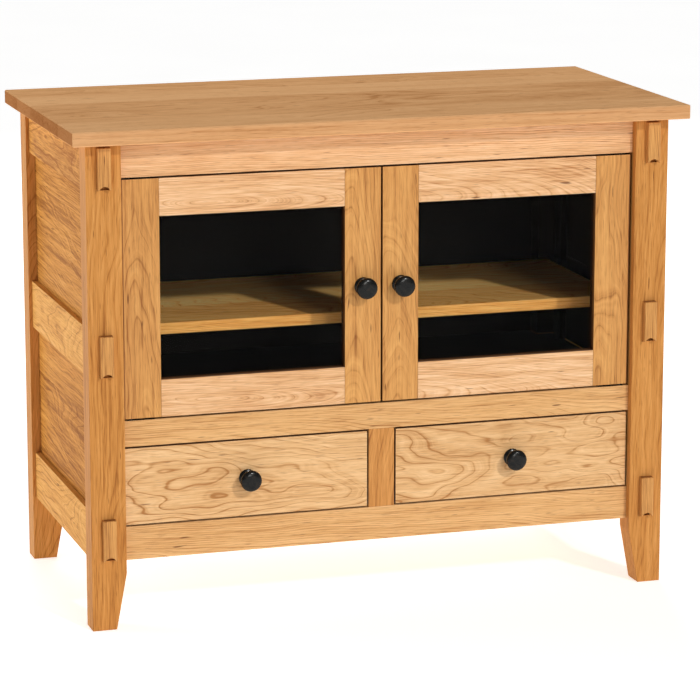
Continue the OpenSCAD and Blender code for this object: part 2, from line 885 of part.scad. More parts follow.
module right_door_hinge_stile() { color(cherry) on_right() door_stile_shape(door_out_x); }
module right_door_meeting_stile() { color(cherry) on_right() door_stile_shape(win_x[1]); }
module right_door_top_rail() { color(cherry_light) on_right() door_rail_shape(win_z[1], false); }
module right_door_bottom_rail() { color(cherry_light) on_right() door_rail_shape(door_low_z, true); }
module right_door_glass() { color(pane) on_right() door_glass_shape(); }
module right_door_glass_stops() { color(cherry) on_right() glass_stops_shape(); }
module right_door_knob() { color(bronze) on_right() knob_shape(door_knob_x, face_y, door_knob_z); }
module right_door_fittings() { color(bronze) on_right() door_fittings_shape(); }

// ---------- sub-parts: drawers ----------

module drawer_side_pair() {
  drawer_side_shape(box_x[0]);
  drawer_side_shape(box_x[1] - box_t);
}

module left_drawer_front() { color(cherry_light) drawer_front_shape(); }
module left_drawer_sides() { color(maple) drawer_side_pair(); }
module left_drawer_back() { color(maple) drawer_back_shape(); }
module left_drawer_bottom() { color(maple) drawer_bottom_shape(); }
module left_drawer_knob() { color(bronze) knob_shape(drawer_knob_x, face_y, drawer_knob_z); }
module left_drawer_slide_rails() { color(steel) slide_inner_pair(); }

module right_drawer_front() { color(cherry_light) on_right() drawer_front_shape(); }
module right_drawer_sides() { color(maple) on_right() drawer_side_pair(); }
module right_drawer_back() { color(maple) on_right() drawer_back_shape(); }
module right_drawer_bottom() { color(maple) on_right() drawer_bottom_shape(); }
module right_drawer_knob() {
  color(bronze) on_right() knob_shape(drawer_knob_x, face_y, drawer_knob_z);
}
module right_drawer_slide_rails() { color(steel) on_right() slide_inner_pair(); }

module left_slide_middle() { color(steel) slide_pair(middle_x, middle_reach, middle_h / 2); }
module right_slide_middle() {
  color(steel) on_right() slide_pair(middle_x, middle_reach, middle_h / 2);
}

// ---------- drawing ----------

top_slab();
front_left_post();
front_right_post();
back_left_post();
back_right_post();
left_bottom_side_rail();
left_middle_side_rail();
left_top_side_rail();
right_bottom_side_rail();
right_middle_side_rail();
right_top_side_rail();
left_lower_side_panel();
left_upper_side_panel();
right_lower_side_panel();
right_upper_side_panel();
front_top_rail();
front_middle_rail();
front_bottom_rail();
drawer_mullion();
back_panel();
back_rails();
cabinet_floor();
slide_bearers();
shelf();
shelf_cleats();
shelf_pins();
tenon_keys();
hinge_case_plates();
door_catch();
slide_case_rails();
left_door_hinge_stile();
left_door_meeting_stile();
left_door_top_rail();
left_door_bottom_rail();
left_door_glass();
left_door_glass_stops();
left_door_knob();
left_door_fittings();
right_door_hinge_stile();
right_door_meeting_stile();
right_door_top_rail();
right_door_bottom_rail();
right_door_glass();
right_door_glass_stops();
right_door_knob();
right_door_fittings();
left_drawer_front();
left_drawer_sides();
left_drawer_back();
left_drawer_bottom();
left_drawer_knob();
left_drawer_slide_rails();
right_drawer_front();
right_drawer_sides();
right_drawer_back();
right_drawer_bottom();
right_drawer_knob();
right_drawer_slide_rails();
left_slide_middle();
right_slide_middle();
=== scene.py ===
import math

import bmesh
import bpy
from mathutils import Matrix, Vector


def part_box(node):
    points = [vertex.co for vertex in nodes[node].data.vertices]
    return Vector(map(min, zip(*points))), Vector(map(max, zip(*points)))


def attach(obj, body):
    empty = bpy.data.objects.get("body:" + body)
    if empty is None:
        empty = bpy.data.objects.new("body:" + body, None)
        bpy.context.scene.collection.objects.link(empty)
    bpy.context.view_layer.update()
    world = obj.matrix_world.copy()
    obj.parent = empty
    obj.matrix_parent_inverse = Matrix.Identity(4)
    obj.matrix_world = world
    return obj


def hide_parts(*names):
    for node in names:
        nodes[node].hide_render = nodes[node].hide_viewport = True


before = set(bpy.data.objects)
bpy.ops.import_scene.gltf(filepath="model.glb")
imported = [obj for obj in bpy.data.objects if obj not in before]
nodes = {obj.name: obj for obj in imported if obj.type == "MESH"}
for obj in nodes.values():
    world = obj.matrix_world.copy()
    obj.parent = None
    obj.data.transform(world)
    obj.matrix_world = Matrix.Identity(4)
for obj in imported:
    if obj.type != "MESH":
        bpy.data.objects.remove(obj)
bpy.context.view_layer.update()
scene = bpy.context.scene

# ---------- camera and light ----------

scene.view_settings.view_transform = "Standard"
scene.view_settings.look = "None"

WHITE = (1.0, 1.0, 1.0, 1.0)
WARM_WHITE = (1.0, 0.99, 0.97)
SKY_STRENGTH = 0.20
SENSOR_MM = 36.0
LENS_MM = 169.7
CAMERA_AT = Vector((-1.677, -5.367, 1.622))
CAMERA_YAW = math.radians(17.49)
CAMERA_PITCH = math.radians(12.30)

camera_data = bpy.data.cameras.new("camera")
camera_data.sensor_width = SENSOR_MM
camera_data.lens = LENS_MM
camera_data.clip_end = 100.0
camera = bpy.data.objects.new("camera", camera_data)
scene.collection.objects.link(camera)
camera.location = CAMERA_AT
look = Vector((
    math.sin(CAMERA_YAW) * math.cos(CAMERA_PITCH),
    math.cos(CAMERA_YAW) * math.cos(CAMERA_PITCH),
    -math.sin(CAMERA_PITCH),
))
camera.rotation_euler = look.to_track_quat("-Z", "Y").to_euler()
scene.camera = camera

world = bpy.data.worlds.new("studio")
scene.world = world
world.use_nodes = True
sky = world.node_tree.nodes["Background"]
sky.inputs["Color"].default_value = WHITE
sky.inputs["Strength"].default_value = SKY_STRENGTH


def area_light(name, at, aim, size, power, colour=WHITE[:3]):
    """A square soft light at a point, turned towards another."""
    data = bpy.data.lights.new(name, "AREA")
    data.size = size
    data.energy = power
    data.color = colour
    lamp = bpy.data.objects.new(name, data)
    scene.collection.objects.link(lamp)
    lamp.location = at
    lamp.rotation_euler = (Vector(aim) - Vector(at)).to_track_quat("-Z", "Y").to_euler()


def sun(name, towards, strength, spread):
    """A distant light; towards points from the cabinet to it, spread is its width in degrees."""
    data = bpy.data.lights.new(name, "SUN")
    data.energy = strength * math.pi
    data.angle = math.radians(spread)
    data.color = WARM_WHITE
    lamp = bpy.data.objects.new(name, data)
    scene.collection.objects.link(lamp)
    lamp.rotation_euler = Vector(towards).to_track_quat("Z", "Y").to_euler()


sun("key", towards=(0.36, -1.0, 0.66), strength=0.37, spread=4.0)
sun("front", towards=(0.10, -1.0, 0.24), strength=0.15, spread=12.0)
area_light("side", at=(-3.3, 1.3, 1.3), aim=(-0.5, 0.0, 0.45), size=1.8, power=44.0,
           colour=WARM_WHITE)
area_light("rear", at=(0.5, 3.8, 2.6), aim=(0.0, 0.0, 0.4), size=2.4, power=95.0)


# ---------- small helpers for node trees ----------


def srgb(r, g, b):
    """A colour given as 0-255 screen values, as the linear RGBA that shaders take."""
    out = []
    for v in (r, g, b):
        v /= 255.0
        out.append(v / 12.92 if v <= 0.04045 else ((v + 0.055) / 1.055) ** 2.4)
    return (out[0], out[1], out[2], 1.0)


class Tree:
    """Builds one material's nodes. Values may be numbers, tuples or output sockets."""

    def __init__(self, name):
        self.mat = bpy.data.materials.new(name)
        self.mat.use_nodes = True
        self.t = self.mat.node_tree
        self.t.nodes.clear()

    def add(self, kind, inputs=None, **props):
        n = self.t.nodes.new(kind)
        for k, v in props.items():
            setattr(n, k, v)
        for k, v in (inputs or {}).items():
            if isinstance(v, bpy.types.NodeSocket):
                self.t.links.new(v, n.inputs[k])
            else:
                n.inputs[k].default_value = v
        return n

    def math(self, op, a, b=0.0, c=0.0, clamp=False):
        n = self.add("ShaderNodeMath", {0: a, 1: b, 2: c}, operation=op, use_clamp=clamp)
        return n.outputs[0]

    def combine(self, x, y, z):
        return self.add("ShaderNodeCombineXYZ", {0: x, 1: y, 2: z}).outputs[0]

    def noise(self, vector, scale, detail=2.0, rough=0.5):
        n = self.add("ShaderNodeTexNoise",
                     {"Vector": vector, "Scale": scale, "Detail": detail, "Roughness": rough})
        return n.outputs["Fac"]

    def ramp(self, fac, stops, interpolation="LINEAR"):
        n = self.add("ShaderNodeValToRGB", {"Fac": fac})
        r = n.color_ramp
        r.interpolation = interpolation
        while len(r.elements) < len(stops):
            r.elements.new(0.5)
        for e, (pos, colour) in zip(r.elements, stops):
            e.position = pos
            e.color = colour if len(colour) == 4 else (*colour, 1.0)
        return n.outputs["Color"]

    def mix(self, fac, a, b, blend="MIX"):
        n = self.add("ShaderNodeMix", data_type="RGBA", blend_type=blend)
        for key, v in ((0, fac), (6, a), (7, b)):
            if isinstance(v, bpy.types.NodeSocket):
                self.t.links.new(v, n.inputs[key])
            else:
                n.inputs[key].default_value = v
        return n.outputs[2]

    def finish(self, **inputs):
        """Puts a Principled shader at the end of the tree."""
        names = {k.replace("_", " "): v for k, v in inputs.items()}
        shader = self.add("ShaderNodeBsdfPrincipled", names)
        self.add("ShaderNodeOutputMaterial", {"Surface": shader.outputs[0]})
        return self.mat


def grey(v):
    return (v, v, v)


# the space behind the glass doors whose wooden faces get painted shade, nearly black, for the
# deep shade inside the cabinet: half its width, then its limits in Y and Z. Each limit lies a
# hair past the boards that close the space, and the width reaches a little into the side panels.
HAIR = 0.0002
INTO_PANEL = 0.0015
SHADED_INSIDE_X = -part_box("left_lower_side_panel")[1].x + INTO_PANEL
SHADED_INSIDE_Y = (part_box("front_top_rail")[1].y + HAIR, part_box("back_panel")[0].y + HAIR)
SHADED_INSIDE_Z = (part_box("cabinet_floor")[1].z + HAIR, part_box("top_slab")[0].z + HAIR)

# light, middle and dark wood colours of each group of pieces
LOOKS = {
    "post": ((220, 157, 88), (198, 134, 68), (150, 90, 41)),
    "stile": ((226, 168, 98), (206, 146, 80), (148, 90, 42)),
    "rail": ((246, 204, 160), (227, 176, 125), (182, 122, 72)),
    "low_rail": ((238, 190, 132), (219, 167, 107), (172, 112, 58)),
    "drawer": ((240, 198, 146), (220, 172, 117), (178, 122, 68)),
    "side_rail": ((236, 180, 104), (216, 155, 80), (164, 102, 46)),
    "panel": ((224, 163, 86), (202, 138, 64), (148, 88, 35)),
    "top": ((241, 188, 134), (226, 170, 116), (186, 126, 74)),
    # the shelf's colours are brightened as painted light, for the light that falls on it through
    # the glass
    "shelf": ((255, 212, 136), (255, 190, 108), (228, 146, 70)),
    # the glass stops are dark brown as painted shade, for the shade in the rebate behind the glass
    "stop": ((104, 68, 42), (84, 54, 33), (58, 37, 24)),
    "maple": ((240, 218, 180), (230, 204, 162), (208, 176, 130)),
}
PORE = srgb(120, 70, 32)
GUM = srgb(104, 58, 28)
END_GRAIN = srgb(148, 110, 70)
# painted shade for the narrow faces of door and drawer pieces, and a painted shadow line for the
# crease beside a hinge stile
NARROW_FACE_SHADE = srgb(100, 66, 40)
SHADE_LINE_COLOUR = srgb(110, 66, 36)
GLUE_LINE = srgb(140, 88, 44)
# painted shade, nearly black, for the faces inside the glazed part
INSIDE_SHADE_DEEP = srgb(24, 19, 15)
INSIDE_SHADE_THIN = srgb(40, 31, 24)
ZINC_DIM = srgb(144, 145, 149)
ZINC_BRIGHT = srgb(176, 178, 182)


def wood(name, look, grain, face, seed, board=0.0, offset=0.0, pith=(0.0, 0.07),
         slope=(0.0, 0.10), ring=0.0032, figure=0.7, streaks=0.8, warped=0.045, rippled=0.010,
         tone=0.0, contrast=1.0, gloss=0.18, edge_shade=0.0, shade_line=None, shade_inside=False):
    """Planed and lacquered hardwood.

    grain and face are axes: the grain runs along the first, and the second is across the
    board's thickness. board is the width of the boards glued side by side, 0 for one board, and
    offset moves them sideways. pith is where the log's centre lies beside and below the board,
    and slope is how much that changes along the board, which draws the arches of flat-sawn
    wood. ring is the distance between two rings, figure how strongly they show, warped how far
    they wander and rippled how wavy they are. streaks are straight and run along the grain,
    and tone darkens all of it. edged paints shade on the narrow faces round a board, in the gaps
    and window reveals and on the eased edges, and so also darkens the joint lines between
    members. seam is an axis, a place and a width of a painted shadow line, the shade in the
    crease beside a door's hinge stile. stained pieces get painted shade, nearly black, on their
    faces inside the glazed part, where the cabinet lies in deep shade.
    """
    light, middle, dark = (srgb(*c) for c in LOOKS[look])
    axes = "xyz"
    g = axes.index(grain)
    f = axes.index(face)
    # the third axis, across the board's width
    s = 3 - g - f
    t = Tree(name)
    spot = t.add("ShaderNodeTexCoord")
    xyz = t.add("ShaderNodeSeparateXYZ", {0: spot.outputs["Object"]})
    along, deep, side = xyz.outputs[g], xyz.outputs[f], xyz.outputs[s]
    rand = [0.5, 0.5, 0.5]
    if board:
        steps = t.math("DIVIDE", t.math("ADD", side, offset), board)
        index = t.math("FLOOR", steps)
        side = t.math("MULTIPLY", t.math("SUBTRACT", t.math("FRACT", steps), 0.5), board)
        white = t.add("ShaderNodeTexWhiteNoise", {"W": t.math("ADD", index, seed * 3.17)},
                      noise_dimensions="1D")
        rgb = t.add("ShaderNodeSeparateColor", {0: white.outputs["Color"]})
        rand = [rgb.outputs[i] for i in range(3)]
        along = t.math("ADD", along, t.math("MULTIPLY", rand[2], 3.0))
    else:
        side = t.math("ADD", side, offset)
    shift = seed * 1.618

    def stretched(across, length, extra=0.0):
        """Noise coordinates drawn out along the grain."""
        return t.combine(t.math("MULTIPLY_ADD", side, across, shift + extra),
                         t.math("MULTIPLY_ADD", deep, across, shift * 0.7 + extra),
                         t.math("MULTIPLY_ADD", along, length, shift * 1.3 + extra))

    # distance from the pith, bent by slow and by quicker noise
    warp = t.noise(stretched(6.0, 1.9), 1.0, 2.0, 0.5)
    ripple = t.noise(stretched(24.0, 8.0, 4.0), 1.0, 1.5, 0.5)
    from_side = t.math("SUBTRACT", t.math("MULTIPLY_ADD", along, slope[0], side), pith[0])
    depth = t.math("ADD", t.math("MULTIPLY_ADD", along, slope[1], deep), pith[1])
    if board:
        from_side = t.math("ADD", from_side, t.math("MULTIPLY_ADD", rand[0], 0.16, -0.08))
        depth = t.math("ADD", depth, t.math("MULTIPLY", rand[1], 0.10))
    radius = t.math("SQRT", t.math("ADD", t.math("MULTIPLY", from_side, from_side),
                                   t.math("MULTIPLY", depth, depth)))
    radius = t.math("MULTIPLY_ADD", warp, warped, radius)
    radius = t.math("MULTIPLY_ADD", ripple, rippled, radius)
    uneven = t.noise(t.combine(radius, seed * 0.9, 0.0), 42.0, 1.0, 0.5)
    count = t.math("MULTIPLY_ADD", uneven, 1.6, t.math("DIVIDE", radius, ring))
    rings = t.ramp(t.math("FRACT", count), [
        (0.0, grey(0.30)), (0.07, grey(0.14)), (0.60, grey(0.10)), (0.84, grey(0.30)),
        (0.925, grey(1.0)), (0.96, grey(0.85)), (1.0, grey(0.30))])
    # how strongly the rings show, from place to place
    patch = t.noise(stretched(10.0, 2.2, 9.0), 1.0, 1.0, 0.5)
    ring_part = t.math("MULTIPLY", t.math("SUBTRACT", rings, 0.28),
                       t.math("MULTIPLY_ADD", patch, figure * 1.5, figure * -0.15))
    # finer layers that run beside the rings, and streaks that run straight
    layer = t.noise(t.combine(t.math("MULTIPLY", radius, 520.0), shift,
                              t.math("MULTIPLY", along, 3.0)), 1.0, 3.0, 0.7)
    streak = t.noise(stretched(130.0, 2.6, 2.0), 1.0, 3.0, 0.65)
    fleck = t.noise(stretched(420.0, 20.0, 11.0), 1.0, 2.0, 0.6)
    fibre = t.noise(stretched(620.0, 12.0, 6.0), 1.0, 2.0, 0.6)
    cloud = t.noise(stretched(9.0, 3.5, 8.0), 1.0, 2.0, 0.5)
    value = t.math("MULTIPLY_ADD", ring_part, contrast, 0.46)
    value = t.math("MULTIPLY_ADD", t.math("SUBTRACT", layer, 0.5), 1.1 * contrast, value)
    value = t.math("MULTIPLY_ADD", t.math("SUBTRACT", streak, 0.5), streaks * contrast, value)
    value = t.math("MULTIPLY_ADD", t.math("SUBTRACT", fleck, 0.5), 0.9 * contrast, value)
    value = t.math("MULTIPLY_ADD", t.math("SUBTRACT", fibre, 0.5), 0.40 * contrast, value)
    value = t.math("MULTIPLY_ADD", t.math("SUBTRACT", cloud, 0.5), 0.55 * contrast, value)
    if board:
        value = t.math("MULTIPLY_ADD", t.math("SUBTRACT", rand[1], 0.5), 0.42, value)
    value = t.math("ADD", value, tone, clamp=True)
    colour = t.ramp(value, [(0.0, light), (0.5, middle), (1.0, dark)])
    # short dark pores and a few brown gum lines
    pore = t.noise(stretched(1150.0, 42.0, 3.0), 1.0, 1.0, 0.5)
    pores = t.math("MULTIPLY", t.math("SUBTRACT", pore, 0.60, clamp=True), 2.6, clamp=True)
    colour = t.mix(pores, colour, PORE, "MULTIPLY")
    gum = t.noise(stretched(230.0, 24.0, 5.0), 1.0, 1.0, 0.4)
    gums = t.math("MULTIPLY", t.math("SUBTRACT", gum, 0.74, clamp=True), 14.0, clamp=True)
    colour = t.mix(t.math("MULTIPLY", gums, 0.8), colour, GUM)
    # end grain drinks more finish and looks darker
    facing = t.add("ShaderNodeSeparateXYZ", {0: spot.outputs["Normal"]})
    turn = facing.outputs[g]
    end = t.math("MULTIPLY", t.math("POWER", t.math("ABSOLUTE", turn), 4.0), 0.75)
    colour = t.mix(end, colour, END_GRAIN, "MULTIPLY")
    # painted shade on the narrow faces round a board, in the gaps and reveals and on the eased
    # edges, which also darkens the joint lines
    if edge_shade:
        flat = t.math("ABSOLUTE", facing.outputs[f])
        narrow = t.math("MULTIPLY", t.math("SUBTRACT", 0.9, flat, clamp=True), 6.0, clamp=True)
        colour = t.mix(t.math("MULTIPLY", narrow, edge_shade), colour, NARROW_FACE_SHADE, "MULTIPLY")
    # painted shadow: a dark line along an axis, the shade in the crease between a hinge stile and
    # its post
    if shade_line:
        axis, place, width = shade_line
        away = t.math("ABSOLUTE", t.math("SUBTRACT", xyz.outputs[axes.index(axis)], place))
        near = t.math("SUBTRACT", 1.0, t.math("DIVIDE", away, width), clamp=True)
        near = t.math("MULTIPLY", near, 1.6, clamp=True)
        colour = t.mix(t.math("MULTIPLY", near, 0.85), colour, SHADE_LINE_COLOUR, "MULTIPLY")
    if board:
        # the glue line between two boards
        edge = t.math("ABSOLUTE", t.math("DIVIDE", side, board))
        line = t.math("MULTIPLY", t.math("SUBTRACT", edge, 0.4955, clamp=True), 120.0, clamp=True)
        colour = t.mix(t.math("MULTIPLY", line, 0.45), colour, GLUE_LINE, "MULTIPLY")
    if shade_inside:
        # painted shade: the faces inside the glazed part, between the side panels, behind the doors
        # and under the top, are made nearly black for the deep shade there
        inside = t.math("LESS_THAN", t.math("ABSOLUTE", xyz.outputs[0]), SHADED_INSIDE_X)
        for axis, (low, high) in ((1, SHADED_INSIDE_Y), (2, SHADED_INSIDE_Z)):
            inside = t.math("MULTIPLY", inside, t.math("GREATER_THAN", xyz.outputs[axis], low))
            inside = t.math("MULTIPLY", inside, t.math("LESS_THAN", xyz.outputs[axis], high))
        blotch = t.ramp(fibre, [(0.3, INSIDE_SHADE_DEEP), (0.7, INSIDE_SHADE_THIN)])
        colour = t.mix(inside, colour, blotch)
    rough = t.math("MULTIPLY_ADD", fibre, 0.16, 0.40)
    rough = t.math("MULTIPLY_ADD", pores, 0.2, rough)
    height = t.math("SUBTRACT", t.math("MULTIPLY", fibre, 0.35), t.math("MULTIPLY", pores, 0.8))
    height = t.math("MULTIPLY_ADD", rings, -0.25, height)
    bump = t.add("ShaderNodeBump", {"Height": height, "Strength": 0.22, "Distance": 0.0005})
    return t.finish(Base_Color=colour, Roughness=rough, Normal=bump.outputs[0],
                    Specular_IOR_Level=gloss, Coat_Weight=gloss * 0.2, Coat_Roughness=0.28)


# ---------- other materials ----------


def painted_shade_board(name):
    """Near-black board, painted shade for the deep shade inside the cabinet, with a faint grain and
    dust-fine mottling.
    """
    t = Tree(name)
    spot = t.add("ShaderNodeTexCoord").outputs["Object"]
    drawn = t.add("ShaderNodeMapping", {"Vector": spot, "Scale": (4.0, 60.0, 160.0)}).outputs[0]
    grain = t.noise(drawn, 1.0, 3.0, 0.6)
    fine = t.noise(spot, 900.0, 2.0, 0.5)
    value = t.math("MULTIPLY_ADD", fine, 0.3, t.math("MULTIPLY", grain, 0.7))
    colour = t.ramp(value, [(0.25, srgb(13, 11, 9)), (0.75, srgb(30, 25, 21))])
    bump = t.add("ShaderNodeBump", {"Height": value, "Strength": 0.08, "Distance": 0.0003})
    rough = t.math("MULTIPLY_ADD", grain, 0.2, 0.6)
    return t.finish(Base_Color=colour, Roughness=rough, Normal=bump.outputs[0],
                    Specular_IOR_Level=0.12)


def bronze(name):
    """Oil-rubbed bronze: nearly black, with browner and brighter mottling."""
    t = Tree(name)
    spot = t.add("ShaderNodeTexCoord").outputs["Object"]
    mottle = t.noise(spot, 160.0, 3.0, 0.6)
    fine = t.noise(spot, 1400.0, 2.0, 0.5)
    colour = t.ramp(mottle, [(0.30, srgb(12, 12, 12)), (0.55, srgb(22, 22, 20)),
                             (0.80, srgb(44, 36, 29))])
    rough = t.math("MULTIPLY_ADD", mottle, 0.16, 0.20)
    bump = t.add("ShaderNodeBump", {"Height": fine, "Strength": 0.12, "Distance": 0.0002})
    return t.finish(Base_Color=colour, Roughness=rough, Normal=bump.outputs[0], Metallic=0.2,
                    Specular_IOR_Level=0.2, Coat_Weight=0.15, Coat_Roughness=0.10)


def steel(name):
    """Zinc-plated steel with fine rolling marks along Y."""
    t = Tree(name)
    spot = t.add("ShaderNodeTexCoord").outputs["Object"]
    drawn = t.add("ShaderNodeMapping", {"Vector": spot, "Scale": (900.0, 12.0, 900.0)}).outputs[0]
    marks = t.noise(drawn, 1.0, 2.0, 0.6)
    blotch = t.noise(spot, 45.0, 2.0, 0.5)
    value = t.math("MULTIPLY_ADD", blotch, 0.5, t.math("MULTIPLY", marks, 0.5))
    colour = t.ramp(value, [(0.3, ZINC_DIM), (0.7, ZINC_BRIGHT)])
    rough = t.math("MULTIPLY_ADD", marks, 0.2, 0.24)
    bump = t.add("ShaderNodeBump", {"Height": marks, "Strength": 0.1, "Distance": 0.0002})
    return t.finish(Base_Color=colour, Roughness=rough, Normal=bump.outputs[0], Metallic=1.0)


def clear_glass(name):
    """A clear pane with a very slight wave and a weak reflection."""
    t = Tree(name)
    spot = t.add("ShaderNodeTexCoord").outputs["Object"]
    wave = t.noise(spot, 3.0, 1.0, 0.4)
    bump = t.add("ShaderNodeBump", {"Height": wave, "Strength": 0.03, "Distance": 0.002})
    rim = t.add("ShaderNodeFresnel", {"IOR": 1.45, "Normal": bump.outputs[0]})
    through = t.add("ShaderNodeBsdfTransparent", {"Color": srgb(252, 253, 252)})
    shine = t.add("ShaderNodeBsdfGlossy", {"Color": WHITE, "Roughness": 0.02,
                                          "Normal": bump.outputs[0]})
    weak = t.math("MULTIPLY", rim.outputs[0], 0.05)
    both = t.add("ShaderNodeMixShader", {0: weak, 1: through.outputs[0],
                                        2: shine.outputs[0]})
    t.add("ShaderNodeOutputMaterial", {"Surface": both.outputs[0]})
    return t.mat


# ---------- a finish for every CAD node ----------

WOOD_EASE = 0.0007
BOARD_EASE = 0.0006
METAL_EASE = 0.0003
WELD_DISTANCE = 0.00002
SHARP_ANGLE = math.radians(40.0)


def ease(obj, width, segments):
    """Rounds the sharp edges of a CAD node without touching its mesh."""
    weld = obj.modifiers.new("weld", "WELD")
    weld.merge_threshold = WELD_DISTANCE
    bevel = obj.modifiers.new("ease", "BEVEL")
    bevel.width = width
    bevel.segments = segments
    bevel.limit_method = "ANGLE"
    bevel.angle_limit = SHARP_ANGLE
    bevel.use_clamp_overlap = True


def dress(name, material, width=WOOD_EASE, segments=2):
    """Gives a CAD node its material and eased edges; a width of 0 leaves the edges sharp."""
    obj = nodes[name]
    obj.data.materials.clear()
    obj.data.materials.append(material)
    if width:
        ease(obj, width, segments)


# node, look, grain, face, and what else its wood needs; a piece's place in the list is its seed
TOP_BOARD = 0.107
TOP_EDGE_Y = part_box("top_slab")[1].y
# the hinge stiles' outer edge, where a painted shadow line stands for the shade in the crease
# beside the post
HINGE_SHADE_LINE_X = -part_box("left_door_hinge_stile")[0].x
WOODS = [
    ("top_slab", "top", "x", "z", dict(
        board=TOP_BOARD, offset=TOP_EDGE_Y, pith=(0.0, -0.72), slope=(0.006, 0.03),
        ring=0.006, figure=0.35, streaks=1.0, tone=-0.10, gloss=0.0, shade_inside=True)),
    ("front_left_post", "post", "z", "y", dict(
        pith=(-0.43, 0.33), slope=(0.01, 0.02), figure=0.4, gloss=0.05, shade_inside=True)),
    ("front_right_post", "post", "z", "y", dict(
        pith=(0.52, 0.33), slope=(-0.01, 0.03), figure=0.4, gloss=0.05, shade_inside=True)),
    ("back_left_post", "post", "z", "y", dict(pith=(-0.44, -0.12), gloss=0.05, shade_inside=True)),
    ("back_right_post", "post", "z", "y", dict(pith=(0.50, -0.14), gloss=0.05, shade_inside=True)),
    ("drawer_mullion", "post", "z", "y", dict(pith=(0.05, 0.30), figure=0.6)),
    ("tenon_keys", "stile", "z", "y", dict(pith=(0.2, 0.4), figure=0.5)),
    ("front_top_rail", "rail", "x", "y", dict(
        pith=(0.68, 0.27), slope=(0.01, 0.04), figure=0.9, shade_inside=True)),
    ("front_middle_rail", "low_rail", "x", "y", dict(
        pith=(0.30, 0.25), slope=(0.02, 0.05), shade_inside=True)),
    ("front_bottom_rail", "low_rail", "x", "y", dict(
        pith=(0.10, 0.26), slope=(0.02, 0.05), figure=0.9)),
    ("back_rails", "low_rail", "x", "y", dict(shade_inside=True)),
    ("shelf", "shelf", "x", "z", dict(board=0.12, pith=(0.0, -0.40), ring=0.005, gloss=0.0)),
    ("slide_bearers", "maple", "y", "x", dict(figure=0.3)),
]
for side, sign in (("left", -1.0), ("right", 1.0)):
    # the top side rail's tone of 0.26 is painted shade, for the shade that the top's overhang casts
    # on it
    for n, (part, tone) in enumerate((("bottom", 0.0), ("middle", 0.02), ("top", 0.26))):
        WOODS.append((f"{side}_{part}_side_rail", "side_rail", "y", "x", dict(
            pith=(0.15 + 0.31 * n, 0.62 * -sign), slope=(0.02, 0.05), figure=0.6, tone=tone,
            gloss=0.02, shade_inside=True)))
    for n, part in enumerate(("lower", "upper")):
        WOODS.append((f"{side}_{part}_side_panel", "panel", "y", "x", dict(
            board=0.125, offset=0.03 + 0.04 * n, pith=(0.20, 0.60 * -sign), slope=(0.02, 0.06),
            figure=0.55, streaks=1.5, gloss=0.02, shade_inside=True)))
    WOODS += [
        # the hinge stiles carry a painted shadow line along their outer edge, and the door and
        # drawer pieces painted shade on their narrow faces
        (f"{side}_door_hinge_stile", "stile", "z", "y", dict(
            pith=(sign * 0.40, 0.28), slope=(0.02, 0.03), figure=0.5, streaks=1.1, edge_shade=0.8,
            shade_line=("x", sign * HINGE_SHADE_LINE_X, 0.0026))),
        (f"{side}_door_meeting_stile", "stile", "z", "y", dict(
            pith=(sign * 0.04, 0.26), slope=(0.03, 0.06), figure=0.42, streaks=1.2, edge_shade=0.8)),
        (f"{side}_door_top_rail", "rail", "x", "y", dict(
            pith=(0.70, 0.25), slope=(0.03, 0.10), contrast=1.25, edge_shade=0.8)),
        (f"{side}_door_bottom_rail", "rail", "x", "y", dict(
            pith=(0.37, 0.25), slope=(0.03, 0.10), contrast=1.25, edge_shade=0.8)),
        (f"{side}_door_glass_stops", "stop", "x", "z", dict(figure=0.4, gloss=0.05)),
        (f"{side}_drawer_front", "drawer", "x", "y", dict(
            pith=(0.22, 0.50), slope=(0.0, 0.03), ring=0.0034, figure=0.85, warped=0.060,
            rippled=0.019, contrast=1.15, edge_shade=0.8)),
        (f"{side}_drawer_sides", "maple", "y", "x", dict(figure=0.4)),
        (f"{side}_drawer_back", "maple", "x", "y", dict(figure=0.4)),
        (f"{side}_drawer_bottom", "maple", "x", "z", dict(figure=0.5)),
    ]
for index, (name, look_name, grain, face, extra) in enumerate(WOODS):
    dress(name, wood("wood_" + name, look_name, grain, face, index + 1.0, **extra))

# the back panel, the cabinet floor and the shelf cleats are near-black as painted shade, where the
# inside of the cabinet lies in deep shade
shade_board_finish = painted_shade_board("painted_shade_black_board")
for name in ("back_panel", "cabinet_floor", "shelf_cleats"):
    dress(name, shade_board_finish, BOARD_EASE)
steel_finish = steel("zinc_steel")
for name in ("shelf_pins", "door_catch", "slide_case_rails", "left_drawer_slide_rails",
             "right_drawer_slide_rails", "left_slide_middle", "right_slide_middle"):
    dress(name, steel_finish, METAL_EASE, 1)
glass_finish = clear_glass("window_glass")
for name in ("left_door_glass", "right_door_glass"):
    dress(name, glass_finish, 0.0)
bronze_finish = bronze("oil_rubbed_bronze")
for name in ("hinge_case_plates", "left_door_fittings", "right_door_fittings"):
    dress(name, bronze_finish, METAL_EASE, 1)

# ---------- new pieces ----------


def link(name, mesh, body, material):
    """Adds a new piece that rides on a body and takes its finish from a slot."""
    obj = bpy.data.objects.new(name, mesh)
    scene.collection.objects.link(obj)
    obj.data.materials.append(material)
    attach(obj, body)
    return obj


